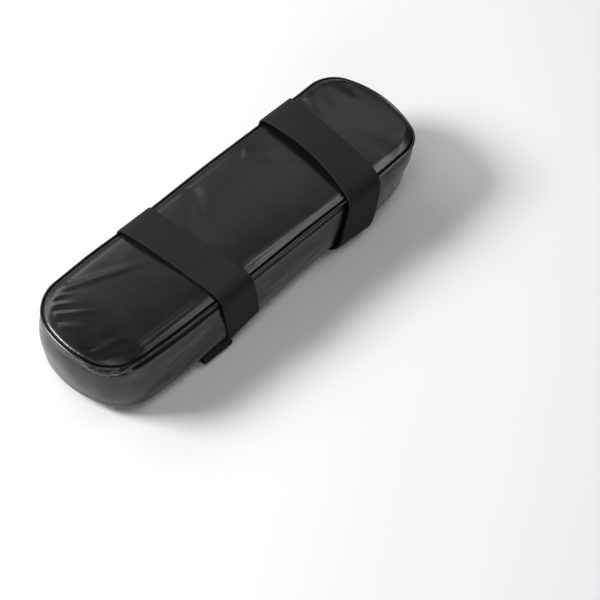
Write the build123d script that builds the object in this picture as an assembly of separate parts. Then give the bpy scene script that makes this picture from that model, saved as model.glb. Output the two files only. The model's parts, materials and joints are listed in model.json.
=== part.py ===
from build123d import *
import os
from math import radians, sqrt, tan

# A padded cover for a chair's armrest, leather side up. X runs along the arm,
# Y across it and Z up. The origin is below the pad's middle, in the plane that
# the lowest webbing lies in. The buckles and strap tails start on the -Y side.

# pad body
PAD_LENGTH = 298.0
PAD_WIDTH = 86.0
PAD_FLOOR = 9.5            # height of the underside above the lowest webbing
PAD_HEIGHT = 41.5          # underside to the highest point of the crown
CROWN_ACROSS = 4.0         # drop of the crown from the middle to the long sides
CROWN_ALONG = 4.5          # drop of the crown from the middle to the ends
CROWN_OVERHANG = 5.0       # how far the crown's surface runs past the ends
FRONT_CORNER = 32.0        # radius of the corners at the -X end
FRONT_BOW = 90.0           # radius of that end between its corners
REAR_CORNER = 22.0         # the same at the +X end
REAR_BOW = 70.0
SKIN = 1.2                 # thickness of each cover panel
THREAD = 0.5               # side of a seam thread's section
THREAD_GAP = 0.1           # gap between a seam thread and the panels
SEAM_ROOM = 0.7            # gap between cover and foam, where the seams' threads lie
JOIN_X = 4.0               # where the side band's ends are sewn together
JOIN_START = 6.0           # lowest of those stitches above the underside
JOIN_STITCH = 3.0
JOIN_PITCH = 4.5
JOIN_COUNT = 6

# elastic straps
WEB_WIDTH = 29.0
WEB = 1.5                  # thickness of the elastic
AIR = 0.3                  # gap between one layer and the next
SLACK = 2.5                # how far a strap stands off the pad's sides
SEWN_INSET = 1.5           # a strap's fixed end, in from the pad's side
TURN_Y = -31.9             # where it turns round the flat bar
TURN_RADIUS = 2.0
LOOP_TURNS_Y = (-20.0, -15.5)   # rise from that bar to the layer above
LOOP_RADIUS = 1.5
DIP_TURNS_Y = (34.5, 41.2)      # fall to the lowest layer, near the +Y side
DIP_RADII = (5.0, 3.5)
EDGE_RADIUS = 6.0          # turns over the pad's upper edges
TUCK_RADIUS = 2.5          # turns under its lower edges
TAIL_HINGE_Y = -39.5       # line that a strap's loose tail bends about
TAIL_CUT = 1.0             # tail's start, measured from that line
WRAP_CUT = 2.5             # strap's end on the other side of that line
TAIL_END_Y = 33.0

# ladder-lock buckle
BAR_A_Y = -36.0            # round bar held in the tab
BAR_A_Z = 6.1
BAR_A_R = 1.3
BAR_B_Y = -24.5            # flat ribbed bar that the strap turns round
BAR_B_WIDTH = 7.0
BAR_B_THICK = 2.2
LIP_Y = -12.6
LIP_WIDTH = 3.2
LIP_THICK = 1.8
LIP_ROUND = 0.7
BUCKLE_WIDTH = 44.0
RAIL_WIDTH = 3.5
RAIL_THICK = 2.6
RAIL_PAST_BAR = 2.2        # a rail's end beyond the round bar
RAIL_PAST_LIP = 1.2        # its other end, short of the lip's middle
RAIL_BENDS_Y = (-27.0, -18.0)
RAIL_RISES = (0.2, 0.9, -0.3, -0.1)   # over the round bar, flat bar (twice) and lip
RAIL_RADIUS = 6.0
RIB_COUNT = 4
RIB_PITCH = 1.6
RIB_GROOVE = 0.6
RIB_DEPTH = 0.4
TAB_WIDTH = 26.0
TAB_WEB = 1.2
TAB_FIT = 0.25             # gap between the tab and its bar
TAB_OFFSET = -3.0          # tab's middle from the buckle's middle, along X
TAB_INSET = 0.6            # tab's sewn end, in from the pad's side
TAB_SEWN = 3.5             # length over which its two layers are sewn flat
TAB_PARTING = 0.1          # half the gap where the layers part

# rows of stitches that sew straps and tabs
TACK_COUNT = 6
TACK_PITCH = 3.2
TACK_STITCH = (2.2, 0.7, 0.4)
STRAP_TACK_INSET = 4.5
TAB_TACK_INSET = 1.6
TAB_TACK_DROP = 3.45       # below the pad's underside

# heights of the layers' middles
FIXED_Z = PAD_FLOOR - AIR - WEB / 2
RETURN_Z = FIXED_Z - WEB - AIR
TAIL_Z = WEB / 2
LOOP_Z = 3.05              # below the flat bar
BAR_B_Z = (FIXED_Z + LOOP_Z) / 2
LIP_Z = 4.1
TOP_Z = PAD_FLOOR + PAD_HEIGHT + AIR + WEB / 2
SIDE_Y = PAD_WIDTH / 2 + SLACK + WEB / 2

# middle of each strap along X, at each turn of its route
STRAPS = {
    "front": {"sewn": -63.0, "buckle": -56.5, "low_back": -40.0, "high_back": -46.0,
              "high_face": -39.5, "low_face": -40.0, "tail": -67.5, "frame": -58.0},
    "rear": {"sewn": 70.0, "buckle": 77.5, "low_back": 89.0, "high_back": 89.0,
             "high_face": 79.0, "low_face": 70.0, "tail": 58.0, "frame": 76.0},
}


def end_edges(side, corner, bow):
    """One end of the outline: two corner arcs, tangent to the sides and to a wide end arc."""
    half = PAD_WIDTH / 2
    bow_x = PAD_LENGTH / 2 - bow
    corner_x = bow_x + sqrt((bow - corner) ** 2 - (half - corner) ** 2)
    reach = bow / (bow - corner)
    joint = (bow_x + (corner_x - bow_x) * reach, (half - corner) * reach)
    aim = Vector(joint[0] - corner_x, joint[1] - half + corner).normalized()
    middle = (aim + Vector(0, 1)).normalized() * corner + Vector(corner_x, half - corner)
    edges = [ThreePointArc(joint, (PAD_LENGTH / 2, 0), (joint[0], -joint[1]))]
    for flip in (1, -1):
        edges.append(ThreePointArc((corner_x, flip * half), (middle.X, flip * middle.Y),
                                   (joint[0], flip * joint[1])))
    if side < 0:
        edges = [edge.mirror(Plane.YZ) for edge in edges]
    return edges, side * corner_x


def outline(inset=0.0):
    """The pad's plan shape, with its edge moved in by the inset."""
    front, front_x = end_edges(-1, FRONT_CORNER, FRONT_BOW)
    rear, rear_x = end_edges(1, REAR_CORNER, REAR_BOW)
    sides = [Line((front_x, y), (rear_x, y)) for y in (-PAD_WIDTH / 2, PAD_WIDTH / 2)]
    face = make_face(Wire(front + rear + sides))
    if inset:
        face = offset(face, -inset)
    return face


def prism(inset, low, high):
    """A straight-sided block of the plan shape between two heights."""
    return extrude(Pos(0, 0, low) * outline(inset), high - low)


def crown(drop=0.0):
    """A barrel whose upper skin is the crown, moved down by the drop."""
    across = (PAD_WIDTH ** 2 / 4 + CROWN_ACROSS ** 2) / (2 * CROWN_ACROSS)
    reach = PAD_LENGTH / 2 + CROWN_OVERHANG
    top = PAD_FLOOR + PAD_HEIGHT - drop
    fall = CROWN_ALONG * (reach / (PAD_LENGTH / 2)) ** 2
    profile = Plane.XZ * make_face(Wire([
        ThreePointArc((-reach, top - fall), (0, top), (reach, top - fall)),
        Line((reach, top - fall), (reach, top - across)),
        Line((reach, top - across), (-reach, top - across)),
        Line((-reach, top - across), (-reach, top - fall)),
    ]))
    return revolve(profile, Axis((0, 0, top - across), (1, 0, 0)), 360)


def seam_ring(low, high):
    """A ring as wide as a thread, just inside the side band."""
    inset = SKIN + THREAD_GAP
    return prism(inset, low, high) - prism(inset + THREAD, low, high)


def cover_and_core():
    """Foam core, three cover panels and the threads that sew them."""
    top = PAD_FLOOR + PAD_HEIGHT + 1
    floor = PAD_FLOOR + SKIN
    below_panel = crown(SKIN)
    top_panel = (prism(0, floor, top) & crown()) - below_panel
    bottom_panel = prism(0, PAD_FLOOR, floor)
    foam = prism(SKIN + SEAM_ROOM, floor, top) & below_panel
    band = (prism(0, floor, top) - prism(SKIN, floor, top)) & below_panel
    seam = SKIN + THREAD_GAP
    top_thread = (seam_ring(floor, top) & crown(seam)) - crown(seam + THREAD)
    bottom_thread = seam_ring(PAD_FLOOR + seam, PAD_FLOOR + seam + THREAD)
    join_thread = join_stitches()
    return {
        "foam_core": foam,
        "top_panel": top_panel,
        "side_band": band,
        "bottom_panel": bottom_panel,
        "top_seam_thread": top_thread,
        "bottom_seam_thread": bottom_thread,
        "side_join_thread": Compound(children=join_thread),
    }


def join_stitches():
    """The upright row of stitches that closes the side band, on the +Y side."""
    y = PAD_WIDTH / 2 - SKIN - THREAD_GAP - THREAD / 2
    first = PAD_FLOOR + JOIN_START
    return [Pos(JOIN_X, y, first + i * JOIN_PITCH) * Box(THREAD, THREAD, JOIN_STITCH)
            for i in range(JOIN_COUNT)]


def flat_run(start, end, width, thick):
    """A flat stretch of webbing between two points, its ends square to Y and Z."""
    half = Vector(width / 2, 0, 0)
    start, end = Vector(*start), Vector(*end)
    face = make_face(Polyline(start - half, start + half, end + half, end - half, close=True))
    normal = Vector(1, 0, 0).cross(end - start).normalized()
    return extrude(face, thick / 2, normal, both=True)


def bend(x, centre, radius, start, turn, width, thick):
    """A curved stretch of webbing that turns about an axis along X."""
    across = (0, centre[1] - start[1], start[0] - centre[0])
    section = Face.make_rect(width, thick, Plane((x, *start), (1, 0, 0), across))
    return revolve(section, Axis((x, *centre), (1, 0, 0)), turn)


def webbing(route, width=WEB_WIDTH, thick=WEB):
    """Webbing along a route of (x, y, z, radius): straight runs joined by bends."""
    pieces = []
    last = route[0][:3]
    for before, here, after in zip(route, route[1:], route[2:]):
        x, y, z, radius = here
        into = Vector(0, y - before[1], z - before[2]).normalized()
        out = Vector(0, after[1] - y, after[2] - z).normalized()
        turn = into.get_signed_angle(out, Vector(1, 0, 0))
        back = radius * tan(radians(abs(turn)) / 2)
        side = 1 if turn > 0 else -1
        entry = (y - into.Y * back, z - into.Z * back)
        centre = (entry[0] - side * into.Z * radius, entry[1] + side * into.Y * radius)
        leave = (y + out.Y * back, z + out.Z * back)
        pieces.append(flat_run(last, (x, *entry), width, thick))
        pieces.append(bend(x, centre, radius, entry, turn, width, thick))
        last = (x, *leave)
    pieces.append(flat_run(last, route[-1][:3], width, thick))
    strap = pieces[0]
    for piece in pieces[1:]:
        strap = strap + piece
    return strap


def strap_route(at):
    """From the sewn end to the buckle, back, and once round the pad."""
    return [
        (at["sewn"], PAD_WIDTH / 2 - SEWN_INSET, FIXED_Z, 0),
        (at["buckle"], TURN_Y, FIXED_Z, TURN_RADIUS),
        (at["buckle"], TURN_Y, LOOP_Z, TURN_RADIUS),
        (at["buckle"], LOOP_TURNS_Y[0], LOOP_Z, LOOP_RADIUS),
        (at["buckle"], LOOP_TURNS_Y[1], RETURN_Z, LOOP_RADIUS),
        (at["low_back"], DIP_TURNS_Y[0], RETURN_Z, DIP_RADII[0]),
        (at["low_back"], DIP_TURNS_Y[1], TAIL_Z, DIP_RADII[1]),
        (at["low_back"], SIDE_Y, TAIL_Z, TUCK_RADIUS),
        (at["high_back"], SIDE_Y, TOP_Z, EDGE_RADIUS),
        (at["high_face"], -SIDE_Y, TOP_Z, EDGE_RADIUS),
        (at["low_face"], -SIDE_Y, TAIL_Z, TUCK_RADIUS),
        (at["low_face"], TAIL_HINGE_Y - WRAP_CUT, TAIL_Z, 0),
    ]


def strap_tail(at):
    """The loose end, lying askew below the pad."""
    start = (at["low_face"], TAIL_HINGE_Y + TAIL_CUT, TAIL_Z)
    return flat_run(start, (at["tail"], TAIL_END_Y, TAIL_Z), WEB_WIDTH, WEB)


def buckle(x):
    """Ladder-lock frame: two bowed rails, a round bar, a ribbed bar and a lip."""
    rail_path = FilletPolyline(
        (0, BAR_A_Y - RAIL_PAST_BAR, BAR_A_Z + RAIL_RISES[0]),
        (0, RAIL_BENDS_Y[0], BAR_B_Z + RAIL_RISES[1]),
        (0, RAIL_BENDS_Y[1], BAR_B_Z + RAIL_RISES[2]),
        (0, LIP_Y + RAIL_PAST_LIP, LIP_Z + RAIL_RISES[3]),
        radius=RAIL_RADIUS,
    )
    start = rail_path @ 0
    section = Plane(start, (1, 0, 0), rail_path % 0) * Rectangle(RAIL_WIDTH, RAIL_THICK)
    rail = sweep(section, path=rail_path)
    offset_x = (BUCKLE_WIDTH - RAIL_WIDTH) / 2
    inner = BUCKLE_WIDTH - RAIL_WIDTH
    bar_a = Pos(x, BAR_A_Y, BAR_A_Z) * Rot(0, 90, 0) * Cylinder(BAR_A_R, inner)
    bar_b = Pos(x, BAR_B_Y, BAR_B_Z) * Box(inner, BAR_B_WIDTH, BAR_B_THICK)
    lip_block = Box(inner, LIP_WIDTH, LIP_THICK)
    lip_block = fillet(lip_block.edges().filter_by(Axis.X), LIP_ROUND)
    frame = Pos(x - offset_x) * rail + Pos(x + offset_x) * rail + bar_a + bar_b
    frame = frame + Pos(x, LIP_Y, LIP_Z) * lip_block
    groove = Box(inner - RAIL_WIDTH, RIB_GROOVE, 2 * RIB_DEPTH)
    for i in range(RIB_COUNT):
        y = BAR_B_Y + (i - (RIB_COUNT - 1) / 2) * RIB_PITCH
        frame = frame - Pos(x, y, BAR_B_Z - BAR_B_THICK / 2) * groove
    return frame


def tab(x):
    """Short webbing loop that is sewn into the seam and holds the buckle's bar."""
    inner = BAR_A_R + TAB_FIT
    outer = inner + TAB_WEB
    seam_y = -PAD_WIDTH / 2 + TAB_INSET
    seam_z = PAD_FLOOR - TAB_WEB
    bar = (BAR_A_Y, BAR_A_Z)

    def teardrop(radius, tip_y, half):
        circle = Pos(*bar) * Circle(radius)
        tip = Polyline((tip_y, seam_z - half), (tip_y, seam_z + half),
                       (bar[0], bar[1] + radius), (bar[0], bar[1] - radius), close=True)
        return circle + make_face(tip)

    hollow = teardrop(inner, seam_y + TAB_SEWN, TAB_PARTING)
    profile = teardrop(outer, seam_y, TAB_WEB) - hollow
    return extrude(Plane.YZ.offset(x - TAB_WIDTH / 2) * profile, TAB_WIDTH)


def bar_tack(x, y, z):
    """A row of thread stitches, standing just proud of the webbing."""
    first = x - (TACK_COUNT - 1) * TACK_PITCH / 2
    return Compound(children=[Pos(first + i * TACK_PITCH, y, z) * Box(*TACK_STITCH)
                              for i in range(TACK_COUNT)])


def build():
    parts = cover_and_core()
    strap_tack_z = FIXED_Z - WEB / 2 - TACK_STITCH[2] / 2
    for end, at in STRAPS.items():
        tab_x = at["frame"] + TAB_OFFSET
        parts[end + "_strap"] = webbing(strap_route(at))
        parts[end + "_strap_tail"] = strap_tail(at)
        parts[end + "_buckle"] = buckle(at["frame"])
        parts[end + "_buckle_tab"] = tab(tab_x)
        parts[end + "_strap_tack"] = bar_tack(
            at["sewn"], PAD_WIDTH / 2 - STRAP_TACK_INSET, strap_tack_z)
        parts[end + "_tab_tack"] = bar_tack(
            tab_x, TAB_TACK_INSET - PAD_WIDTH / 2, PAD_FLOOR - TAB_TACK_DROP)
    return parts


os.makedirs("parts", exist_ok=True)
for name, shape in build().items():
    export_step(shape, "parts/" + name + ".step")
    print(name, round(shape.volume, 1))
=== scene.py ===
"""A chair armrest pad: foam in a glossy leather cover, wrapped in its own elastic straps."""
import json
import math
import bmesh
import bpy
import numpy as np
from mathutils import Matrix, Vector, noise


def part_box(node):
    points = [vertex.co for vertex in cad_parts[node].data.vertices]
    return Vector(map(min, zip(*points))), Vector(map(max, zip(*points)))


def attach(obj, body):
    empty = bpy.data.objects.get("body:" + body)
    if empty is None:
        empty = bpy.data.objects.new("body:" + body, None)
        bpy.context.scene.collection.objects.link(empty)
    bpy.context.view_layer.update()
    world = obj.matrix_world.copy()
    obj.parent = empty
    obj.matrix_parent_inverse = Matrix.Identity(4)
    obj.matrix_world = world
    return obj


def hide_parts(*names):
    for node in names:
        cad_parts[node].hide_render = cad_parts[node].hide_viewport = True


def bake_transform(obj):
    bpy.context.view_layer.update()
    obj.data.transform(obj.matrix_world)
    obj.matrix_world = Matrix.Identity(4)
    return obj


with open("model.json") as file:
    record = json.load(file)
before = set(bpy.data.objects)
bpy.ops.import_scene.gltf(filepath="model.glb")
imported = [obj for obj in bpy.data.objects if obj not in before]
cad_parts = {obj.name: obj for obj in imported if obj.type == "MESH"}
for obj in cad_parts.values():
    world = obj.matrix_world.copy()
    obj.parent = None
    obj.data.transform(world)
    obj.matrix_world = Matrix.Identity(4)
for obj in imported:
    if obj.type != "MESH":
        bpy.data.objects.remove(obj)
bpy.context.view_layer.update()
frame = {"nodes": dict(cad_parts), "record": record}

MM = 0.001

# --- sizes, in metres, from the frame -------------------------------------------------

BAND_LOW, BAND_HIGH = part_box("side_band")
LENGTH = BAND_HIGH.x - BAND_LOW.x
WIDTH = BAND_HIGH.y - BAND_LOW.y
FLOOR_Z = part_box("bottom_panel")[0].z
TOP_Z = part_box("top_panel")[1].z
SEAM_Z = TOP_Z - 3.9 * MM          # height of the top seam
FRONT_CORNER, FRONT_BOW = 32 * MM, 90 * MM        # radii of the -X end's corners and of its wide arc
REAR_CORNER, REAR_BOW = 22 * MM, 70 * MM          # the same at the +X end
SPINE_FRONT, SPINE_REAR = 46 * MM, 42 * MM        # the panels' middle line stops this far from each end
LEATHER = 1.0 * MM                 # thickness of the cover
STRAP_WIDTH, WEB = 29 * MM, 1.5 * MM
TAB_WIDTH, TAB_WEB = 25 * MM, 1.2 * MM
WEB_STEP, TAB_STEP = 1.0 * MM, 0.5 * MM           # spacing of the rings that a webbing is made of
OUTLINE_HALF = 430                 # outline points along each long half
ARC_POINTS = 80                    # points on each arc of an end, before even spacing


# --- small helpers ---------------------------------------------------------------------

def smooth(t):
    """0 below 0, 1 above 1, and a smooth step between."""
    t = np.clip(t, 0, 1)
    return t * t * (3 - 2 * t)


def new_object(name, verts, faces, material, shade=True):
    """A mesh object in the scene, with one material; shade makes its faces look smooth."""
    mesh = bpy.data.meshes.new(name)
    mesh.from_pydata([tuple(v) for v in verts], [], faces)
    mesh.validate()
    if shade:
        mesh.polygons.foreach_set("use_smooth", [True] * len(mesh.polygons))
    piece = bpy.data.objects.new(name, mesh)
    bpy.context.scene.collection.objects.link(piece)
    piece.data.materials.append(material)
    return piece


def apply_modifiers(piece):
    """Replaces a piece's mesh with what its modifiers make of it."""
    graph = bpy.context.evaluated_depsgraph_get()
    made = bpy.data.meshes.new_from_object(piece.evaluated_get(graph))
    piece.modifiers.clear()
    piece.data = made


def get_points(piece):
    """A piece's points, one row each."""
    co = np.zeros(len(piece.data.vertices) * 3)
    piece.data.vertices.foreach_get("co", co)
    return co.reshape(-1, 3)


def set_points(piece, points):
    piece.data.vertices.foreach_set("co", np.asarray(points, float).ravel())
    piece.data.update()


def soft_noise(points, scale, seed):
    """Smooth noise, about -1 to 1, at points in metres."""
    return np.array([noise.noise(Vector(p) / scale + Vector((seed, seed * 0.7, 0))) for p in points])


def wander(points, layers):
    """Layers of soft noise, each given by its height in mm, its scale in metres and its seed."""
    return sum(height * MM * soft_noise(points, scale, seed) for height, scale, seed in layers)


def hump(value, centre, width):
    """A bell: 1 at its centre, and near 0 two widths away."""
    return np.exp(-((value - centre) / width) ** 2)


def arch(t):
    """Rises from 0 to 1 and falls back as t goes from 0 to 1; 0 outside that."""
    return math.sin(math.pi * min(max(t, 0), 1))


def ring_faces(count, around, base=0, closed=False, flip=False):
    """Quads between rings of points that each close on themselves; closed joins last ring to first."""
    faces = []
    for r in range(count if closed else count - 1):
        a, b = base + r * around, base + (r + 1) % count * around
        for i in range(around):
            j = (i + 1) % around
            faces.append((a + i, b + i, b + j, a + j) if flip else (a + i, a + j, b + j, b + i))
    return faces


def lengths_along(path):
    """Distance from a path's first point to each of its points."""
    return np.concatenate([[0], np.cumsum(np.linalg.norm(np.diff(path, axis=0), axis=1))])


def at_columns(places, known, table):
    """Each column of a table, read at places between the known ones."""
    return np.stack([np.interp(places, known, table[:, k]) for k in range(table.shape[1])], 1)


def spline_samples(points, per_span):
    """Points on a Catmull-Rom curve through the given ones."""
    p = np.array(points, float)
    p = np.vstack([2 * p[0] - p[1], p, 2 * p[-1] - p[-2]])
    out = []
    for i in range(1, len(p) - 2):
        for t in np.linspace(0, 1, per_span, endpoint=False):
            out.append(0.5 * (2 * p[i] + (p[i + 1] - p[i - 1]) * t
                              + (2 * p[i - 1] - 5 * p[i] + 4 * p[i + 1] - p[i + 2]) * t * t
                              + (3 * p[i] - p[i - 1] - 3 * p[i + 1] + p[i + 2]) * t ** 3))
    out.append(p[-2])
    return np.array(out)


# --- materials -------------------------------------------------------------------------

class Shader:
    """A node material under construction."""

    def __init__(self, name, **sockets):
        self.material = bpy.data.materials.new(name)
        self.material.use_nodes = True
        self.nodes = self.material.node_tree.nodes
        self.links = self.material.node_tree.links
        self.bsdf = self.nodes["Principled BSDF"]
        for socket, value in sockets.items():
            self.bsdf.inputs[socket.replace("_", " ")].default_value = value

    def add(self, kind, **settings):
        """A new node; each setting is a constant on one of its sockets, or one of its own properties."""
        node = self.nodes.new(kind)
        for key, value in settings.items():
            if key in node.inputs:
                node.inputs[key].default_value = value
            else:
                setattr(node, key, value)
        return node

    def link(self, a, b):
        self.links.new(a, b)

    def coordinates(self, output="Object"):
        return self.add("ShaderNodeTexCoord").outputs[output]

    def noise(self, vector, scale, detail=3.0):
        node = self.add("ShaderNodeTexNoise", Scale=scale, Detail=detail, Roughness=0.55)
        self.link(vector, node.inputs["Vector"])
        return node.outputs["Fac"]

    def cells(self, vector, scale, feature="F1"):
        node = self.add("ShaderNodeTexVoronoi", feature=feature, Scale=scale)
        self.link(vector, node.inputs["Vector"])
        return node.outputs["Distance"]

    def wave(self, vector, scale, direction, distortion=0.0):
        node = self.add("ShaderNodeTexWave", bands_direction=direction, Scale=scale,
                        Distortion=distortion)
        self.link(vector, node.inputs["Vector"])
        return node.outputs["Fac"]

    def ramp(self, value, stops):
        """Blends between two stops, each a place from 0 to 1 and a colour."""
        node = self.add("ShaderNodeValToRGB")
        for element, (place, colour) in zip(node.color_ramp.elements, stops):
            element.position, element.color = place, colour
        self.link(value, node.inputs["Fac"])
        return node.outputs["Color"]

    def spread(self, value, low, high):
        """Maps 0..1 to low..high."""
        node = self.add("ShaderNodeMapRange")
        node.inputs["To Min"].default_value = low
        node.inputs["To Max"].default_value = high
        self.link(value, node.inputs["Value"])
        return node.outputs["Result"]

    def math(self, operation, a, b):
        node = self.add("ShaderNodeMath", operation=operation)
        for socket, value in zip(node.inputs, (a, b)):
            if isinstance(value, (int, float)):
                socket.default_value = value
            else:
                self.link(value, socket)
        return node.outputs["Value"]

    def bump(self, height, strength, distance, normal=None):
        node = self.add("ShaderNodeBump", Strength=strength, Distance=distance)
        self.link(height, node.inputs["Height"])
        if normal is not None:
            self.link(normal, node.inputs["Normal"])
        return node.outputs["Normal"]

    def set(self, socket, value):
        self.link(value, self.bsdf.inputs[socket])


def grey(level):
    """An opaque grey with a very slight blue tint."""
    return (level, level, level * 1.02, 1.0)


def leather_material():
    """Smooth black imitation leather: fine grain, faint haze and rubbed patches."""
    s = Shader("pu_leather", Specular_IOR_Level=0.5, Coat_Weight=0.3, Coat_Roughness=0.2)
    place = s.coordinates()
    haze = s.noise(place, 28.0, 4.0)
    s.set("Base Color", s.ramp(haze, [(0.3, grey(0.0035)), (0.7, grey(0.0065))]))
    s.set("Roughness", s.spread(s.noise(place, 55.0, 5.0), 0.24, 0.40))
    grain = s.bump(s.cells(place, 1500.0, "DISTANCE_TO_EDGE"), 0.05, 0.00006)
    ripple = s.bump(s.noise(place, 260.0, 3.0), 0.12, 0.00045, grain)
    s.set("Normal", ripple)
    return s.material


def cloth_material():
    """Matt black base cloth with a fine woven ground."""
    s = Shader("grip_cloth", Roughness=0.88, Specular_IOR_Level=0.3, Sheen_Weight=0.35,
               Sheen_Roughness=0.5)
    place = s.coordinates()
    tone = s.noise(place, 700.0, 2.0)
    s.set("Base Color", s.ramp(tone, [(0.3, grey(0.012)), (0.72, grey(0.034))]))
    warp = s.wave(place, 520.0, "X", 1.5)
    weft = s.wave(place, 520.0, "Y", 1.5)
    weave = s.math("MULTIPLY", warp, weft)
    s.set("Normal", s.bump(s.math("ADD", weave, s.noise(place, 1200.0)), 0.55, 0.0002))
    return s.material


def elastic_material():
    """Woven elastic: fine ribs across and soft columns along, both in metres. u is across, v along."""
    s = Shader("elastic", Specular_IOR_Level=0.12, Sheen_Weight=0.04, Sheen_Roughness=0.5)
    uv = s.coordinates("UV")
    ribs = s.wave(uv, 290.0, "Y", 0.6)
    columns = s.wave(uv, 190.0, "X", 0.4)
    weave = s.math("ADD", s.math("MULTIPLY", ribs, 0.7), s.math("MULTIPLY", columns, 0.45))
    fuzz = s.noise(s.coordinates(), 900.0, 3.0)
    tone = s.math("ADD", s.math("MULTIPLY", weave, 0.5), s.math("MULTIPLY", fuzz, 0.5))
    s.set("Base Color", s.ramp(tone, [(0.25, grey(0.011)), (0.85, grey(0.029))]))
    s.set("Roughness", s.spread(fuzz, 0.85, 0.98))
    s.set("Normal", s.bump(s.math("ADD", weave, s.math("MULTIPLY", fuzz, 0.6)), 0.5, 0.00018))
    return s.material


def plastic_material():
    """Moulded black plastic with a soft sheen and light scuffs."""
    s = Shader("buckle_plastic", Specular_IOR_Level=0.5)
    place = s.coordinates()
    s.set("Base Color", s.ramp(s.noise(place, 90.0), [(0.3, grey(0.016)), (0.7, grey(0.024))]))
    s.set("Roughness", s.spread(s.noise(place, 240.0, 5.0), 0.30, 0.50))
    s.set("Normal", s.bump(s.noise(place, 1500.0, 2.0), 0.12, 0.00008))
    return s.material


def silicone_material():
    """Pale translucent grip dots."""
    s = Shader("grip_dots", Specular_IOR_Level=0.6, Coat_Weight=0.3)
    place = s.coordinates()
    s.set("Base Color", s.ramp(s.noise(place, 160.0), [(0.3, grey(0.10)), (0.7, grey(0.22))]))
    s.set("Roughness", s.spread(s.noise(place, 400.0), 0.25, 0.45))
    return s.material


def thread_material():
    """Twisted black polyester thread."""
    s = Shader("thread", Sheen_Weight=0.2)
    place = s.coordinates()
    s.set("Base Color", s.ramp(s.noise(place, 800.0), [(0.3, grey(0.012)), (0.7, grey(0.03))]))
    s.set("Roughness", s.spread(s.noise(place, 500.0), 0.5, 0.7))
    s.set("Normal", s.bump(s.wave(place, 900.0, "DIAGONAL"), 0.5, 0.0001))
    return s.material


def foam_material():
    """Cream open-cell foam, hidden by the cover."""
    s = Shader("memory_foam", Specular_IOR_Level=0.2)
    place = s.coordinates()
    shades = [(0.3, (0.70, 0.64, 0.47, 1)), (0.7, (0.80, 0.75, 0.60, 1))]
    s.set("Base Color", s.ramp(s.noise(place, 120.0), shades))
    s.set("Roughness", s.spread(s.noise(place, 300.0), 0.85, 0.98))
    s.set("Normal", s.bump(s.cells(place, 900.0), 0.6, 0.0004))
    return s.material


MATERIALS = {
    "pu_leather": leather_material(),
    "grip_cloth": cloth_material(),
    "elastic": elastic_material(),
    "buckle_plastic": plastic_material(),
    "memory_foam": foam_material(),
    "thread": thread_material(),
}
GRIP_DOTS = silicone_material()


# --- the pad's plan outline ----------------------------------------------------------------

def end_curve(side, corner, bow):
    """From one end's tip round to its long side: the wide end arc, then the corner arc."""
    half = WIDTH / 2
    bow_x = LENGTH / 2 - bow
    corner_x = bow_x + math.sqrt((bow - corner) ** 2 - (half - corner) ** 2)
    swing = math.atan2(half - corner, corner_x - bow_x)
    wide = np.linspace(0, swing, ARC_POINTS)
    tight = np.linspace(swing, math.pi / 2, ARC_POINTS)
    x = np.concatenate([bow_x + bow * np.cos(wide), corner_x + corner * np.cos(tight)])
    y = np.concatenate([bow * np.sin(wide), half - corner + corner * np.sin(tight)])
    return np.stack([side * x, y], 1)


HAND_DRIFT = [  # x, y, how far out and over what distance, in mm: hand-sewn seams wander a little
    (-149, -8, 1.1, 24), (-119, -43, -1.4, 20), (92, -43, 1.2, 26), (20, 43, 0.6, 40), (-84, 43, 0.8, 26),
    (-20, -43, 0.4, 30), (138, 34, 0.6, 16), (149, -14, -2.0, 26), (148, 18, -0.9, 22),
]


def outward(loop):
    """Unit normals of a closed loop of plan points."""
    tangent = np.roll(loop, -1, 0) - np.roll(loop, 1, 0)
    tangent /= np.linalg.norm(tangent, axis=1)[:, None]
    return np.stack([tangent[:, 1], -tangent[:, 0]], 1)


def nearness(loop, x, y, spread):
    """A soft weight for each point of a loop, 1 next to a plan point given in mm."""
    away = np.hypot(loop[:, 0] - x * MM, loop[:, 1] - y * MM) / (spread * MM)
    return np.exp(-away ** 2)


def plan_outline():
    """Evenly spaced points from the -X tip, the -Y side first; their outward normals; and their spacing."""
    front = end_curve(-1, FRONT_CORNER, FRONT_BOW)
    rear = end_curve(1, REAR_CORNER, REAR_BOW)[::-1]
    path = np.concatenate([front, rear])
    along = lengths_along(path)
    half = at_columns(np.linspace(0, along[-1], OUTLINE_HALF + 1), along, path)
    near = half * (1, -1)
    loop = np.concatenate([near[:-1], half[::-1][:-1]])
    for x, y, out, spread in HAND_DRIFT:
        loop = loop + outward(loop) * (out * MM * nearness(loop, x, y, spread))[:, None]
    loop = loop + outward(loop) * LEATHER
    return loop, outward(loop), along[-1] / OUTLINE_HALF


OUTLINE, NORMAL, STEP = plan_outline()
COUNT = len(OUTLINE)
SPINE_ENDS = -LENGTH / 2 + SPINE_FRONT, LENGTH / 2 - SPINE_REAR
SPINE = np.stack([np.clip(OUTLINE[:, 0], *SPINE_ENDS), np.zeros(COUNT)], 1)
AROUND = np.arange(COUNT) * STEP                             # distance round the outline
LONG_SIDE = smooth((np.abs(NORMAL[:, 1]) - 0.35) / 0.5)      # 1 along the long sides, 0 at the ends
NEAR_SIDE = smooth((-NORMAL[:, 1] - 0.2) / 0.6)              # 1 along the -Y side
FRONT_END = smooth((-NORMAL[:, 0] - 0.1) / 0.6)              # 1 round the -X end


def near_place(x, y, spread):
    """nearness round the outline."""
    return nearness(OUTLINE, x, y, spread)


def loft(name, rings, material, reverse=True):
    """A piece made of rings all round the outline; reverse is for rings that run down or outwards."""
    faces = ring_faces(len(rings), COUNT)
    if reverse:
        faces = [f[::-1] for f in faces]
    return new_object(name, np.concatenate(rings), faces, MATERIALS[material])


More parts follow.
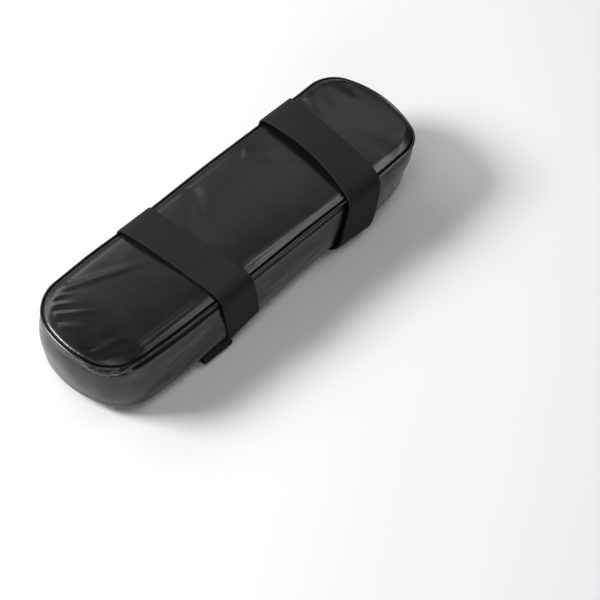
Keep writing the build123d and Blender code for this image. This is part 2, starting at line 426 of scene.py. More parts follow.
def ring_at(offset, height):
    """A ring moved out from the outline by an offset, at a height."""
    plan = OUTLINE + NORMAL * np.reshape(offset, (-1, 1))
    return np.column_stack([plan, np.broadcast_to(height, COUNT)])


def panel_rings(edge_offset, depths, height):
    """Rings that shrink from the edge to the spine; height takes each point's distance in from the edge."""
    edge = OUTLINE + NORMAL * np.reshape(edge_offset, (-1, 1))
    reach = np.linalg.norm(edge - SPINE, axis=1)
    deepest = reach.max()
    rings = []
    for depth in np.append(depths[depths < deepest - 0.8 * MM], deepest):
        plan = SPINE + (edge - SPINE) * (1 - depth / deepest)
        rings.append(np.column_stack([plan, height(reach * depth / deepest)]))
    rings[-1] = (rings[-1] + np.roll(rings[-1][::-1], 1, 0)) / 2        # both sides share the spine's points
    return rings


WELD_GAP, SHORT_EDGE = 2e-5, 1e-6


def close_spine(piece):
    """Joins the points that meet along the spine."""
    mesh = bmesh.new()
    mesh.from_mesh(piece.data)
    bmesh.ops.remove_doubles(mesh, verts=mesh.verts, dist=WELD_GAP)
    bmesh.ops.dissolve_degenerate(mesh, edges=mesh.edges, dist=SHORT_EDGE)
    mesh.to_mesh(piece.data)
    mesh.free()
    piece.data.polygons.foreach_set("use_smooth", [True] * len(piece.data.polygons))


# --- wrinkles ---------------------------------------------------------------------------------

def crease(points, start, end, width, height):
    """Height of one soft ridge (or furrow, if negative) along a line, at each point.

    It starts quickly, dies away slowly, and has a shallow trough on each side.
    """
    start, end = np.array(start) * MM, np.array(end) * MM
    line = end - start
    length = np.linalg.norm(line)
    line = line / length
    rel = points[:, :2] - start
    along = rel @ line / length
    across = (rel @ np.array([-line[1], line[0]])) / (width * MM)
    ends = smooth(along / 0.1) * smooth((1 - along) / 0.6)
    return height * MM * ends * (1 - 0.6 * across ** 2) * np.exp(-across ** 2)


def soft_min(a, b, blend):
    """The smaller of two values, rounded off over about a blend where they cross."""
    return -blend * np.log(np.exp(-a / blend) + np.exp(-b / blend))


# --- cover pieces -----------------------------------------------------------------------------

TOP_DEPTHS = np.concatenate([np.linspace(0, 2.4, 9)[:-1], np.linspace(2.4, 9.6, 13)[:-1],
                             np.linspace(9.6, 60, 34)]) * MM     # closest together at the seam
TOP_INSET = 0.9 * MM               # the top panel's edge lies this far inside the outline
TOP_RISE, CROWN_REACH = 4.9, 42    # seam to crown, and how far in the crown levels out, in mm
BEVEL_WIDTH = 2.4 + 4.2 * LONG_SIDE            # wider and higher along the long sides, in mm
BEVEL_RISE = 1.5 + 1.2 * LONG_SIDE
BEVEL_BLEND = 0.2
DIP_DEPTH, DIP_WIDTH = 1.9, 0.75   # how the seam pulls the edge down, in mm
GATHER_HEIGHT = 0.03 * FRONT_END * (1 - 0.6 * near_place(-120, 40, 20))      # tiny puckers at the seam


def top_height(depth):
    """The top panel dips into its seam, climbs a bevel over the foam's edge, then crowns."""
    d = depth / MM
    slope = BEVEL_RISE * d / BEVEL_WIDTH
    inward = np.clip((d - BEVEL_WIDTH) / (CROWN_REACH - BEVEL_WIDTH), 0, 1)
    crown = BEVEL_RISE + (TOP_RISE - BEVEL_RISE) * (1 - (1 - inward) ** 2)
    dip = -DIP_DEPTH * np.exp(-(d / DIP_WIDTH) ** 1.6)
    # two uneven ripples round the edge, strongest just inside the seam
    pucker = (np.sin(AROUND / (0.61 * MM) + 2.5 * np.sin(AROUND / (7 * MM)))
              + 0.8 * np.sin(AROUND / (0.97 * MM) + 1.9 * np.sin(AROUND / (4.3 * MM))))
    gather = GATHER_HEIGHT * pucker * hump(d, 1.6, 2.0)
    return SEAM_Z + (soft_min(slope, crown, BEVEL_BLEND) + dip + gather) * MM


CLOTH_FRAMES = 20
COARSE = 5                          # outline points per point of the cloth's grid
CLOTH_GROWTH = 0.006                # the share by which the cloth is cut larger than its space
CLOTH_PRESSURE = 4.0                # the side band's rings run down, so there it takes the opposite sign
TOP_LIMIT, BAND_LIMIT = 0.9 * MM, 0.7 * MM     # the furthest that any point may move
CLOTH_SETTINGS = {
    "quality": 6, "mass": 0.25, "tension_stiffness": 25, "compression_stiffness": 12, "shear_stiffness": 8,
    "bending_stiffness": 0.4, "air_damping": 4, "shrink_min": -CLOTH_GROWTH, "use_pressure": True,
}
SEAM_HOLD, SEAM_FADE = 2 * MM, 6 * MM          # held this close to a seam, then freed over this distance


def settle(rings, name, pressure, most):
    """Blows up a coarse copy of a cover piece as cloth held at its seams; returns how each point moved."""
    count, around = rings.shape[:2]
    piece = new_object(name, rings.reshape(-1, 3), ring_faces(count, around), MATERIALS["pu_leather"])
    held = piece.vertex_groups.new(name="seams")
    held.add(list(range(around)) + list(range((count - 1) * around, count * around)), 1.0, "REPLACE")
    cloth = piece.modifiers.new("cloth", "CLOTH")
    for key, value in CLOTH_SETTINGS.items():
        setattr(cloth.settings, key, value)
    cloth.settings.vertex_group_mass = held.name
    cloth.settings.uniform_pressure_force = pressure
    cloth.settings.effector_weights.gravity = 0
    cloth.collision_settings.use_collision = False
    cloth.point_cache.frame_start, cloth.point_cache.frame_end = 1, CLOTH_FRAMES
    scene = bpy.context.scene
    for frame_number in range(1, CLOTH_FRAMES + 1):
        scene.frame_set(frame_number)
        bpy.context.view_layer.update()
    settled = piece.evaluated_get(bpy.context.evaluated_depsgraph_get()).to_mesh()
    points = np.zeros(len(settled.vertices) * 3)
    settled.vertices.foreach_get("co", points)
    scene.frame_set(1)
    bpy.data.objects.remove(piece)
    moved = points.reshape(rings.shape) - rings
    size = np.linalg.norm(moved, axis=2, keepdims=True)
    return moved * np.minimum(1, most / np.maximum(size, 1e-9))


def settled_cover(rings, name, pressure, most):
    """Every second ring and every COARSE-th point go into the cloth. Its movement is smoothed round the pad,
    spread over all the points and faded out near the seams.
    """
    rings = np.array(rings)
    rows = np.unique(np.append(np.arange(0, len(rings), 2), len(rings) - 1))
    moved = settle(rings[np.ix_(rows, np.arange(0, COUNT, COARSE))], name, pressure, most)
    for _ in range(3):
        moved = (np.roll(moved, 1, 1) + 2 * moved + np.roll(moved, -1, 1)) / 4
    wrapped = np.concatenate([moved, moved[:, :1]], 1)
    columns = np.append(np.arange(0, COUNT, COARSE), COUNT)
    fine = np.stack([at_columns(np.arange(COUNT), columns, row) for row in wrapped])
    full = np.stack([at_columns(np.arange(len(rings)), rows, fine[:, i]) for i in range(COUNT)], 1)
    gaps = np.linalg.norm(np.diff(rings, axis=0), axis=2).mean(1)
    reach = np.concatenate([[0], np.cumsum(gaps)])
    free = smooth((np.minimum(reach, reach[-1] - reach) - SEAM_HOLD) / SEAM_FADE)
    return rings + full * free[:, None, None]


TOP_CREASES = [  # start and end in plan, width, height, in mm
    ((-124, 36.5), (-48, 3), 3.4, 0.42), ((-116, 40), (-76, 22), 6.0, -0.16),
    ((-134, 39.5), (-112, 22), 2.0, 0.24), ((-137, 38), (-120, 22), 1.7, -0.26),
    ((-140, 36), (-118, 16), 2.1, 0.24), ((-142.5, 34), (-122, 11), 1.9, -0.26),
    ((-145.5, 31), (-112, -1), 2.6, 0.3), ((-147, 26), (-128, 4), 2.0, -0.25),
    ((-147.5, 20), (-128, -4), 2.4, 0.2),
    ((-146.5, -10), (-130, -23), 1.8, -0.28), ((-143, -16), (-112, -27), 3.2, 0.3),
    ((-122, -33.5), (-48, -35.2), 1.3, 0.42), ((-122, -37.6), (-48, -38.6), 1.1, 0.2),
    ((-30, -36), (76, -39), 1.3, 0.40), ((-20, -38.8), (30, -39.6), 1.0, 0.16),
    ((2, 38), (-24, -2), 6.5, -0.32),
    ((44, 34), (70, -4), 8.0, 0.35), ((60, 20), (62, -16), 6.0, -0.2),
    ((112, 40), (104, 8), 4.0, 0.3), ((119, 38), (112, 4), 4.4, -0.25), ((126, 36), (134, -4), 5.0, 0.25),
    ((139, 26), (128, 0), 4.5, -0.15), ((108, -36), (146, -20), 7.0, -0.4),
]


TOP_UNEVEN = ((0.36, 0.05, 3.1), (0.05, 0.013, 8.4))             # layers for wander
TOP_FADE = 3.5 * MM                 # the wrinkles grow over this distance from the seam


def make_top_panel():
    """The leather top: a crowned panel with its wrinkles on it."""
    flat = panel_rings(-TOP_INSET, TOP_DEPTHS, top_height)
    rings = settled_cover(flat, "top_cloth", CLOTH_PRESSURE, TOP_LIMIT)
    piece = loft("leather_top", rings, "pu_leather", reverse=False)
    close_spine(piece)
    points = get_points(piece)
    depth = WIDTH / 2 - np.hypot(points[:, 0] - np.clip(points[:, 0], *SPINE_ENDS), points[:, 1])
    lift = sum(crease(points, *c) for c in TOP_CREASES)
    lift += wander(points, TOP_UNEVEN)
    points[:, 2] += lift * smooth(depth / TOP_FADE)
    set_points(piece, points)
    return piece


BAND_PROFILE = [  # offset out from the outline, height from the seam, in mm
    (-1.1, -2.2), (-0.95, -0.7), (-0.5, 0.1), (0.15, -0.1), (0.62, -0.55), (0.6, -1.4), (0.0, -2.2),
    (-0.35, -3.2), (-0.2, -5.0), (0.25, -8), (0.9, -13), (1.3, -18.5), (1.2, -24.5), (0.8, -30.6),
    (0.3, -35.4), (-0.1, -38.0), (-0.9, -39.8), (-2.4, -40.7), (-4.0, -39.7), (-5.2, -37.3),
]
NEAR_CREASES = [  # on the -Y side: start and end as (x, z), width, height, in mm
    ((-112, 22), (-52, 34), 3.2, 0.8), ((-104, 14), (-56, 24), 3.4, -0.6), ((-90, 12), (-60, 15), 2.6, 0.5),
    ((-132, 34), (-100, 18), 4.2, -0.6), ((-24, 30), (20, 22), 4.0, 0.5), ((6, 38), (8, 12), 2.0, -0.45),
    ((16, 34), (60, 26), 4.5, -0.5), ((26, 16), (56, 20), 3.4, 0.45), ((90, 43), (108, 10), 2.6, 0.7),
    ((97, 44), (116, 12), 2.4, -0.7), ((104, 45), (124, 14), 2.4, 0.4), ((112, 45), (131, 16), 2.4, -0.35),
]
FAR_CREASES = [  # the same on the +Y side
    ((-120, 36), (-66, 20), 3.4, 0.7), ((-108, 18), (-64, 30), 3.6, -0.5), ((-28, 24), (4, 34), 3.2, 0.6),
    ((8, 14), (64, 26), 3.8, 0.6), ((14, 36), (58, 34), 2.6, -0.5), ((104, 22), (136, 36), 3.0, 0.7),
]
BAND_UNEVEN = ((0.5, 0.032, 5.2), (0.2, 0.012, 1.7))
BAND_FADE = 4 * MM                  # the band's wrinkles grow over this distance below the top seam
BAND_FADE_END, BAND_FADE_LOW = 35.5 * MM, 7 * MM           # and die away above this depth, over this distance
SIDE_START = 20 * MM                # a long side's creases stay this far from the middle plane
CALM_CORNER = 1 - 0.6 * near_place(144, -26, 12)         # the band is less wrinkled round this corner
ROLL_START, ROLL_END, ROLL_FADE = 12 * MM, 50 * MM, 14 * MM         # a puffed-out stretch of the top seam
ROLL = smooth(np.minimum(AROUND - ROLL_START, ROLL_END - AROUND) / ROLL_FADE)
ROLL_OUT, ROLL_HEIGHT = 1.9, 6.4    # how far out and over what height it swells, in mm
FRONT_BULGE, BULGE_HEIGHT = 0.8 * FRONT_END, 34                     # the -X end swells out, in mm
SEAM_PINCH = 0.55 * FRONT_END       # and is drawn in just under the seam
GROOVE = NEAR_SIDE * (1.1 + 1.3 * near_place(-100, -43, 34)) * (1 - ROLL)         # pulled in under the seam
TAPER = ((1 - FRONT_END) * np.clip(0.0385 * (OUTLINE[:, 0] / MM + 85), 0, None)
         * smooth((-NORMAL[:, 1] + 0.5) / 0.8))             # the -Y side leans in more and more towards +X
LOWER_EDGE = np.clip(               # how far out the lower edge lies, in mm
    0.8 - 1.9 * FRONT_END + smooth((-NORMAL[:, 1] - 0.25) / 0.5) * 2.6 - TAPER
    - 1.5 * near_place(130, -40, 16) - 3.0 * near_place(141, -30, 17), -7.0, 4)
SPREAD_EDGE, TUCKED_EDGE = np.maximum(LOWER_EDGE, 0), np.minimum(LOWER_EDGE, 0)


def band_shape(offset, height):
    """How far out one ring of the side band lies, all round, in mm.

    A spread lower edge starts 12 mm down and stops where the leather turns under, and a tucked one leans in
    all the way. The roll swells out, drops into an undercut below, and has fine and coarse folds across it.
    """
    down = -height
    out = offset + FRONT_BULGE * arch(down / BULGE_HEIGHT)
    turned_under = float(smooth((offset + 4.6) / 4))
    out = out + SPREAD_EDGE * float(smooth((down - 12) / 20)) * turned_under
    out = out + TUCKED_EDGE * float(smooth((down + 2) / 40))
    out = out - GROOVE * hump(down, 4.2, 1.7)
    out = out - SEAM_PINCH * hump(down, 1.0, 0.9)
    swell = 1.9 * arch((down + 0.2) / ROLL_HEIGHT) ** 0.6 - 0.5 * hump(down, 6.9, 1.0)
    folds = (1 + 0.11 * np.sin(AROUND / (0.75 * MM) + 1.7 * np.sin(AROUND / (4.1 * MM)) + 0.4 * down)
             + 0.06 * np.sin(AROUND / (1.9 * MM) - 0.5 * down))
    return out + ROLL_OUT * swell * ROLL * folds


def make_side_band():
    """The leather side, from its rolled top edge at the seam to where it turns under the pad."""
    profile = spline_samples(BAND_PROFILE, 5)
    flat = [ring_at(band_shape(offset, height) * MM, SEAM_Z + height * MM) for offset, height in profile]
    rings = settled_cover(flat, "band_cloth", -CLOTH_PRESSURE, BAND_LIMIT)
    piece = loft("leather_side_band", rings, "pu_leather")
    points = get_points(piece)
    down = SEAM_Z - points[:, 2]
    fade = smooth(down / BAND_FADE) * smooth((BAND_FADE_END - down) / BAND_FADE_LOW)
    side_view = points[:, [0, 2]]
    lift = (points[:, 1] < -SIDE_START) * sum(crease(side_view, *c) for c in NEAR_CREASES)
    lift += (points[:, 1] > SIDE_START) * sum(crease(side_view, *c) for c in FAR_CREASES)
    lift += wander(points, BAND_UNEVEN)
    lift *= np.tile(CALM_CORNER, len(profile))
    points[:, :2] += np.tile(NORMAL, (len(profile), 1)) * (lift * fade)[:, None]
    set_points(piece, points)
    return piece


UNDER_DEPTHS = np.concatenate([np.linspace(0, 6, 11)[:-1], np.linspace(6, 60, 26)]) * MM
UNDER_INSET = 4.4                   # the underside's edge lies this far inside the outline, in mm


def under_height(depth):
    """The underside turns up into its seam, and bulges a little next to it."""
    d = depth / MM
    return FLOOR_Z + (2.0 * np.exp(-d / 1.5) - 0.35 * hump(d, 4, 2.4)) * MM


def make_underside():
    """The flat cloth underneath."""
    rings = panel_rings((TUCKED_EDGE - UNDER_INSET) * MM, UNDER_DEPTHS, under_height)
    piece = loft("grip_underside", rings, "grip_cloth")
    close_spine(piece)
    return piece


FOAM_INSET = 3.2 * MM               # the foam's side lies this far inside the outline
FOAM_DROP = 2.8 * MM                # and its top this far below the cover's
FOAM_CLEAR, FOAM_SHOULDER = 2.6 * MM, 1.6 * MM  # its side starts above the floor and stops below the seam
FOAM_TURN, FOAM_BASE = 3 * MM, 5.5 * MM         # how far the side's foot and the base lie inside its side
FOAM_SAG = 0.6 * MM                 # the base lies this far below the side's foot
FOAM_DEPTHS = np.linspace(0, 40, 10) * MM


def make_foam():
    """The slab inside: the cover's shape moved in by the leather and a little air."""
    low, high = FLOOR_Z + FOAM_CLEAR, SEAM_Z - FOAM_SHOULDER
    tuck = TUCKED_EDGE * MM
    rings = panel_rings(-FOAM_INSET, TOP_DEPTHS[::3], lambda depth: top_height(depth) - FOAM_DROP)[::-1]
    rings += [ring_at(-FOAM_INSET, high), ring_at(-FOAM_INSET + 0.6 * tuck, (high + low) / 2),
              ring_at(-FOAM_INSET - FOAM_TURN + tuck, low)]
    rings += panel_rings(-FOAM_INSET - FOAM_BASE + tuck, FOAM_DEPTHS,
                         lambda depth: np.full(COUNT, low - FOAM_SAG))
    piece = loft("foam_slab", rings, "memory_foam")
    close_spine(piece)
    return piece


def thicken(piece, thickness):
    """Gives a sheet its thickness, inward."""
    shell = piece.modifiers.new("thickness", "SOLIDIFY")
    shell.thickness = thickness
    shell.offset = -1
    apply_modifiers(piece)


# --- grip dots --------------------------------------------------------------------------------

DOT_PITCH, DOT_ROW = 4.8 * MM, 4.1 * MM
DOT_RADIUS, DOT_HEIGHT = 0.62 * MM, 0.45 * MM
DOT_SINK = 0.1 * MM                 # a dot's base lies this deep in the cloth
DOT_MARGIN = 7.5 * MM               # no dots nearer than this to the outline
DOT_SIDES = 8
DOT_LEVELS = ((1.0, 0.0), (0.85, 0.55), (0.45, 0.92))            # share of the radius, share of the height


def inside(x, y, margin):
    """Whether a plan point lies inside the outline by a margin."""
    gap = OUTLINE - (x, y)
    nearest = np.argmin((gap ** 2).sum(1))
    return (gap[nearest] @ NORMAL[nearest]) > margin


def make_dots():
    """Rounded dots in staggered rows over the underside, as one piece."""
    verts, faces = [], []
    rows = int(WIDTH / DOT_ROW) + 1
    columns = int(LENGTH / DOT_PITCH) + 2
    for row in range(rows):
        y = (row - rows / 2 + 0.5) * DOT_ROW
        for column in range(columns):
            x = (column - columns / 2 + 0.5 * (row % 2)) * DOT_PITCH
            if not inside(x, y, DOT_MARGIN):
                continue
            base = len(verts)
            for radius, drop in DOT_LEVELS:
                for k in range(DOT_SIDES):
                    a = 2 * math.pi * (k + 0.5) / DOT_SIDES
                    verts.append((x + DOT_RADIUS * radius * math.cos(a),
                                  y + DOT_RADIUS * radius * math.sin(a),
                                  FLOOR_Z + DOT_SINK - (DOT_HEIGHT + DOT_SINK) * drop))
            tip = len(verts)
            verts.append((x, y, FLOOR_Z - DOT_HEIGHT))
            faces += ring_faces(len(DOT_LEVELS), DOT_SIDES, base, flip=True)
            last = tip - DOT_SIDES
            faces += [(last + k, tip, last + (k + 1) % DOT_SIDES) for k in range(DOT_SIDES)]
            faces.append(tuple(range(base, base + DOT_SIDES)))
    return new_object("grip_dots", verts, faces, GRIP_DOTS)


# --- webbing ------------------------------------------------------------------------------------

def round_off(route, times=3):
    """Cuts the corners of a route until it is smooth."""
    p = np.array(route, float)
    for _ in range(times):
        q = 0.75 * p[:-1] + 0.25 * p[1:]
        r = 0.25 * p[:-1] + 0.75 * p[1:]
        middle = np.stack([q, r], 1).reshape(-1, p.shape[1])
        p = np.vstack([p[:1], middle[1:-1], p[-1:]])
    return p


def resample(path, step):
    """The same path, with its points about one step apart."""
    along = lengths_along(path[:, :3])
    count = max(2, int(round(along[-1] / step)))
    return at_columns(np.linspace(0, along[-1], count + 1), along, path)


def band_section(width, thick):
    """A flat section with rounded edges: points (across, through)."""
    half = width / 2 - thick / 2
    top = [(half * a, thick / 2) for a in np.linspace(-1, 1, 13)]
    right = [(half + thick / 2 * math.cos(t), thick / 2 * math.sin(t)) for t in (1.05, 0.52, 0, -0.52, -1.05)]
    under = [(x, -y) for x, y in reversed(top)]
    left = [(-x, -y) for x, y in right]
    return np.array(top + right + under + left)


def make_webbing(name, path, start_length=0.0, width=STRAP_WIDTH, thick=WEB):
    """A band swept along points (x, y, z, rise in y, rise in z): the rises tilt its width off the X axis."""
    centre = path[:, :3]
    tangent = np.gradient(centre, axis=0)
    tangent /= np.linalg.norm(tangent, axis=1)[:, None]
    side = np.column_stack([np.ones(len(path)), path[:, 3:5]])
    shear = (side * tangent).sum(1)
    square = side - tangent * shear[:, None]
    scale = np.linalg.norm(square, axis=1)
    side, shear = side / scale[:, None], shear / scale
    up = np.cross(tangent, square / scale[:, None])
    section = band_section(width, thick)
    n = len(section)
    verts = (centre[:, None, :] + section[None, :, :1] * side[:, None, :]
             + section[None, :, 1:] * up[:, None, :]).reshape(-1, 3)
    last = (len(path) - 1) * n
    faces = ring_faces(len(path), n, flip=True)
    faces.append(tuple(range(n)))
    faces.append(tuple(last + i for i in reversed(range(n))))
    piece = new_object(name, verts, faces, MATERIALS["elastic"])
    along = start_length + lengths_along(centre)
    layer = piece.data.uv_layers.new(name="UVMap")
    loops = np.zeros(len(piece.data.loops), int)
    piece.data.loops.foreach_get("vertex_index", loops)
    across = section[loops % n, 0]
    uv = np.stack([across + width / 2, along[loops // n] + across * shear[loops // n]], 1)
    layer.data.foreach_set("uv", uv.ravel())
    for face in piece.data.polygons[-2:]:
        face.use_smooth = False
    for edge in piece.data.edges:
        edge.use_edge_sharp = max(edge.vertices) < n or min(edge.vertices) >= last
    return piece


def under_route(at):
    """The hidden start of a strap: sewn end, across to the buckle, round its bar, and back to the +Y side."""
    sewn, buckle, back = at["sewn"], at["buckle"], at["low_back"]
    return [
        (sewn, 39.6, 9.3, 0, 0), (sewn, 36, 8.2, 0, 0), ((sewn + buckle) / 2, 0, 8.3, 0, 0),
        (buckle, -27, 8.7, 0, 0), (buckle, -31.9, 8.75, 0, 0), (buckle, -32.4, 5.8, 0, 0),
        (buckle, -31.9, 2.95, 0, 0), (buckle, -26, 3.05, 0, 0), (buckle, -20.5, 2.9, 0, 0),
        (buckle, -15.6, 6.7, 0, 0), (buckle + 1, -9, 6.75, 0, 0), ((back + buckle) / 2, 10, 6.7, 0, 0),
        (back * 0.9 + buckle * 0.1, 30, 6.2, 0, 0), (back, 38, 3.4, 0, 0), (back, 43.4, 0.9, 0, 0),
    ]


STRAPS = {  # x, y, z of the middle line in mm, then how much the width rises in y and z per unit of x
    "front": {
        "sewn": -63, "buckle": -56.5, "low_back": -40,
        "wrap": [
            (-40, 47.2, 2.2, 0, 0), (-40.3, 48.0, 10, 0.02, 0), (-42, 47.6, 22, 0.03, 0),
            (-44, 46.6, 34, 0.02, 0), (-45.3, 45.6, 43.5, 0, 0), (-45.9, 43.6, 50.0, 0, -0.02),
            (-45.9, 38.6, 52.4, 0, -0.05), (-45.6, 28, 53.2, 0, -0.10), (-44.8, 13, 53.4, 0, -0.11),
            (-43.6, -4, 53.1, 0, -0.08), (-42.4, -20, 52.2, 0, -0.05), (-41.4, -33, 51.6, 0, -0.02),
            (-40.9, -41.9, 50.6, 0, 0), (-40.5, -47.6, 46.2, 0, 0), (-39.8, -48.0, 37, 0, 0),
            (-38.5, -48.4, 27, 0, 0.02), (-37.4, -48.6, 17.5, 0, 0.15), (-36.9, -48.2, 10.5, -0.02, 0.34),
        ],
        "tail": [
            (-37.4, -45.6, 6.4, -0.13, 0.35), (-39.2, -40.8, 3.7, -0.05, 0.09), (-43.5, -33, 0.95, 0, 0.0),
            (-50, -14, 0.95, 0, 0), (-56, 2, 2.5, 0, -0.01), (-62.5, 19, 4.1, 0, -0.03),
            (-67.5, 33, 3.0, 0, -0.06),
        ],
    },
    "rear": {
        "sewn": 70, "buckle": 77.5, "low_back": 89,
        "wrap": [
            (89, 47.6, 2.4, 0, 0), (89, 48.6, 11, 0.03, 0), (88.8, 48.4, 24, 0.04, 0),
            (88.4, 47.0, 36, 0.02, 0), (88, 45.8, 44.5, 0, 0), (87.6, 43.6, 50.6, 0, -0.03),
            (87.2, 38.6, 53.0, 0, -0.08), (86.8, 28, 54.3, 0, -0.15), (86, 12, 55.3, 0, -0.21),
            (85, -4, 55.5, 0, -0.22), (83.6, -18, 54.5, 0, -0.18), (81.9, -31, 53.0, 0, -0.10),
            (80.3, -41.5, 51.0, 0, -0.03), (79.0, -47.6, 46.2, 0, 0), (77.0, -48.2, 37, -0.02, 0),
            (74.2, -48.4, 27, -0.04, -0.04), (71.6, -48.2, 17, -0.05, -0.08),
        ],
        "tail": [
            (70.2, -46.9, 9.0, -0.03, -0.10), (69.4, -43.6, 4.0, 0, -0.06), (68.4, -38.5, 1.3, 0, 0),
            (66, -31, 0.8, 0, 0), (62.6, -14, 0.95, 0, 0), (60.4, 2, 2.5, 0, -0.01),
            (58.8, 19, 4.1, 0, -0.04), (57.6, 33, 3.2, 0, -0.07),
        ],
    },
}


def make_strap(end, at):
    """One strap as two pieces: the wrap rides the pad, and the tail runs on from low on the -Y side to the
    underside.
    """
    wrap_points = under_route(at) + at["wrap"]
    route = np.array(wrap_points + at["tail"], float)
    route[:, :3] *= MM
    path = resample(round_off(route), WEB_STEP)
    last = route[len(wrap_points) - 2]
    tail_starts = np.argmin(np.linalg.norm(path[:, :3] - last[:3], axis=1))
    wrap = make_webbing(end + "_strap_wrap", path[:tail_starts + 1])
    tail = make_webbing(end + "_strap_end", path[tail_starts:], tail_starts * WEB_STEP)
    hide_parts(end + "_strap")
    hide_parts(end + "_strap_tail")
    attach(wrap, "pad")
    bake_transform(tail)


TAB_LOOPS = {  # y, z of the tab's middle line in mm, from the seam round the buckle's bar and back
    "front": [(-39.8, 10.2), (-43.6, 8.6), (-48.0, 6.4), (-49.6, 3.9), (-46.6, 1.5), (-40.4, 1.9),
              (-36.2, 3.4), (-33.7, 5.2), (-33.9, 7.2), (-35.8, 8.3), (-38.2, 7.6), (-41.2, 8.4)],
    "rear": [(-41.6, 10.2), (-39.8, 8.9), (-37.4, 8.4), (-35.2, 8.2), (-33.8, 6.8), (-33.9, 5.1),
             (-35.4, 3.9), (-37.2, 4.2), (-39.2, 6.6), (-41.6, 8.9)],
}


def make_tab(end):
    """The webbing loop round the buckle's bar, both ends sewn into the bottom seam."""
    low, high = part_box(end + "_buckle_tab")
    middle = (low.x + high.x) / 2
    loop = np.array(TAB_LOOPS[end]) * MM
    path = np.column_stack([np.full(len(loop), middle), loop, np.zeros((len(loop), 2))])
    path = resample(round_off(path, 2), TAB_STEP)
    piece = make_webbing(end + "_tab_loop", path, width=TAB_WIDTH, thick=TAB_WEB)
    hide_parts(end + "_buckle_tab")
    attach(piece, "pad")


# --- stitches -----------------------------------------------------------------------------------

THREAD_SIDES = 6
STITCH_STATIONS = 7                 # rings of points along one stitch
STITCH_PITCH = 3.4 * MM
SEAM_THREAD_RADIUS = 0.3 * MM
TACK_COUNT, TACK_INSET = 6, 1.1 * MM
TACK_LENGTH, TACK_RADIUS = 2.4 * MM, 0.32 * MM
STRAP_TACK_Z = 7.4 * MM             # just under the sewn end of the strap


def circle_angles():
    """The places round a thread where its points lie."""
    return [2 * math.pi * k / THREAD_SIDES for k in range(THREAD_SIDES)]


def stitch_row(name, centres):
    """A row of stitches along X, each a short arc of thread that dips into the cloth above at its ends."""
    verts, faces = [], []
    direction, sag = np.array((1, 0, 0), float), np.array((0, 0, -1), float)
    side = np.cross(direction, sag)
    for centre in centres:
        base = len(verts)
        for t in (k / (STITCH_STATIONS - 1) for k in range(STITCH_STATIONS)):
            rise = math.sin(math.pi * t)
            middle = (np.array(centre) + direction * (t - 0.5) * TACK_LENGTH
                      + sag * TACK_RADIUS * (1.6 * rise - 1.2))
            thin = 0.55 + 0.45 * rise
            verts += [middle + (side * math.cos(a) + sag * math.sin(a)) * TACK_RADIUS * thin
                      for a in circle_angles()]
        faces += ring_faces(STITCH_STATIONS, THREAD_SIDES, base)
        faces.append(tuple(base + i for i in reversed(range(THREAD_SIDES))))
        faces.append(tuple(base + (STITCH_STATIONS - 1) * THREAD_SIDES + i for i in range(THREAD_SIDES)))
    return new_object(name, verts, faces, MATERIALS["thread"])


def seam_thread(name, offset, height):
    """A thread that runs round the pad in a seam, pinched at each stitch."""
    ring = ring_at(offset, height)
    pinch = 0.72 + 0.28 * np.abs(np.sin(math.pi * AROUND / STITCH_PITCH)) ** 0.6
    verts = []
    for a in circle_angles():
        out = NORMAL * (SEAM_THREAD_RADIUS * math.cos(a) * pinch)[:, None]
        verts.append(ring + np.column_stack([out, SEAM_THREAD_RADIUS * math.sin(a) * pinch]))
    faces = ring_faces(THREAD_SIDES, COUNT, closed=True)
    return new_object(name, np.concatenate(verts), faces, MATERIALS["thread"])


TOP_STITCH_INSET, TOP_STITCH_DROP = 0.75, 2.1 * MM          # inset from the outline in mm, then height
LOW_STITCH_INSET, LOW_STITCH_RISE = 6.3, 0.1 * MM


def make_seam_threads():
    """The threads in the seams above and below the side band."""
    for name, node, offset, height in (
            ("top_stitches", "top_seam_thread", np.full(COUNT, -TOP_STITCH_INSET), SEAM_Z - TOP_STITCH_DROP),
            ("bottom_stitches", "bottom_seam_thread", TUCKED_EDGE - LOW_STITCH_INSET,
             FLOOR_Z + LOW_STITCH_RISE)):
        thread = seam_thread(name, offset * MM, height)
        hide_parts(node)
        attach(thread, "pad")


def make_tacks(end):
    """The rows of stitches that hold a strap's sewn end and its buckle's tab."""
    for node, height in (("_strap_tack", STRAP_TACK_Z), ("_tab_tack", None)):
        low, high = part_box(end + node)
        y, z = (low.y + high.y) / 2, height or low.z
        xs = np.linspace(low.x + TACK_INSET, high.x - TACK_INSET, TACK_COUNT)
        row = stitch_row(end + node + "_thread", [(x, y, z) for x in xs])
        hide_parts(end + node)
        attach(row, "pad")


# --- build everything ----------------------------------------------------------------------------

BUCKLE_EDGE = 0.35 * MM             # width of the buckles' rounded edges
BUCKLE_SHARP = math.radians(35)     # edges sharper than this are rounded


def dress_cad_nodes():
    """Gives each CAD node its material, and rounds the buckles' edges."""
    slots = {s["node"]: s["material_slot"] for s in frame["record"]["subparts"]}
    for name, node in frame["nodes"].items():
        node.data.materials.clear()
        node.data.materials.append(MATERIALS[slots[name]])
        if name.endswith("_buckle"):
            soften = node.modifiers.new("soften", "BEVEL")
            soften.width = BUCKLE_EDGE
            soften.segments = 2
            soften.limit_method = "ANGLE"
            soften.angle_limit = BUCKLE_SHARP
            soften.harden_normals = False


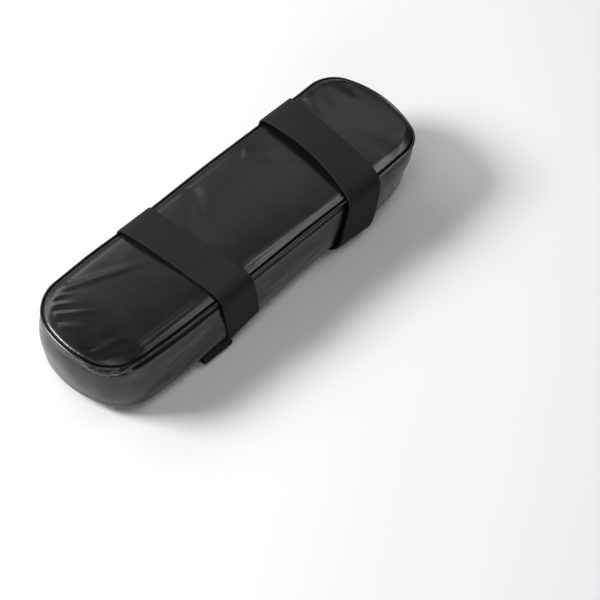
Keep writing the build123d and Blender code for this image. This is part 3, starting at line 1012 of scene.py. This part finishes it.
def build():
    """Makes every piece, hides the CAD node that it replaces, and attaches it to what it rides on."""
    dress_cad_nodes()
    top, band, under, foam = make_top_panel(), make_side_band(), make_underside(), make_foam()
    for piece, node, slot_name, thickness in (
            (top, "top_panel", "pu_leather", LEATHER), (band, "side_band", "pu_leather", LEATHER),
            (under, "bottom_panel", "grip_cloth", LEATHER), (foam, "foam_core", "memory_foam", 0)):
        if thickness:
            thicken(piece, thickness)
        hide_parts(node)
        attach(piece, "pad")
    make_seam_threads()
    dots = make_dots()
    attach(dots, "pad")
    for end, at in STRAPS.items():
        make_strap(end, at)
        make_tab(end)
        make_tacks(end)


# --- stage, lights and camera ----------------------------------------------------------------------

FLOOR_HALF = 6.0
FLOOR_DROP = 0.2 * MM               # keeps the floor clear of what rests on it
WORLD_STRENGTH = 0.03
LIGHTS = (  # name, place, target, size, watts
    ("key", (-0.95, 1.05, 1.05), (0, 0, 0.02), (0.6, 0.6), 34),
    ("back", (0.1, 1.5, 1.1), (0, 0, 0.02), (1.4, 0.7), 9),
    ("right", (0.95, -0.46, 1.42), (0, 0, 0.02), (1.1, 0.36), 5.2),
    ("back_right", (1.25, 0.8, 1.42), (0, 0, 0.02), (0.9, 0.8), 1.8),
    ("front_left", (-1.08, -0.7, 0.78), (-0.13, -0.02, 0.04), (1.7, 0.4), 4.4),
    ("above", (-0.45, -0.33, 1.45), (-0.13, -0.02, 0.03), (0.4, 0.4), 1.7),
)
AZIMUTH, ELEVATION = math.radians(-46), math.radians(51)
CAMERA_DISTANCE = 2.625
CAMERA_LENS, SENSOR_WIDTH = 239.4, 36
AIM = Vector((4.5, -59.5, 9.5)) * MM


def make_floor():
    """A wide pale floor."""
    half = FLOOR_HALF
    verts = [(-half, -half, 0), (half, -half, 0), (half, half, 0), (-half, half, 0)]
    s = Shader("floor", Roughness=0.9, Specular_IOR_Level=0.1)
    s.set("Base Color", s.ramp(s.noise(s.coordinates(), 3.0), [(0.0, grey(0.92)), (1.0, grey(0.95))]))
    floor = new_object("floor", verts, [(0, 1, 2, 3)], s.material, shade=False)
    floor.location.z = -FLOOR_DROP


def make_lights():
    """A key from the back left, weaker panels round the other sides and above, and a faint even world."""
    world = bpy.data.worlds.new("studio")
    bpy.context.scene.world = world
    world.use_nodes = True
    background = world.node_tree.nodes["Background"]
    background.inputs["Color"].default_value = (1, 1, 1, 1)
    background.inputs["Strength"].default_value = WORLD_STRENGTH
    for name, place, target, size, watts in LIGHTS:
        data = bpy.data.lights.new(name, "AREA")
        data.shape = "RECTANGLE"
        data.size, data.size_y = size
        data.energy = watts
        light = bpy.data.objects.new(name, data)
        light.location = place
        light.rotation_euler = (Vector(target) - Vector(place)).to_track_quat("-Z", "Y").to_euler()
        bpy.context.scene.collection.objects.link(light)
    bpy.context.scene.view_settings.view_transform = "Standard"


def make_camera():
    """A long lens, aimed at a place beside the pad."""
    data = bpy.data.cameras.new("camera")
    data.lens = CAMERA_LENS
    data.sensor_width = SENSOR_WIDTH
    data.clip_start, data.clip_end = 0.1, 50
    camera = bpy.data.objects.new("camera", data)
    back = Vector((math.sin(AZIMUTH) * math.cos(ELEVATION), -math.cos(AZIMUTH) * math.cos(ELEVATION),
                   math.sin(ELEVATION)))
    camera.location = AIM + back * CAMERA_DISTANCE
    camera.rotation_euler = (-back).to_track_quat("-Z", "Y").to_euler()
    bpy.context.scene.collection.objects.link(camera)
    bpy.context.scene.camera = camera


build()
make_floor()
make_lights()
make_camera()
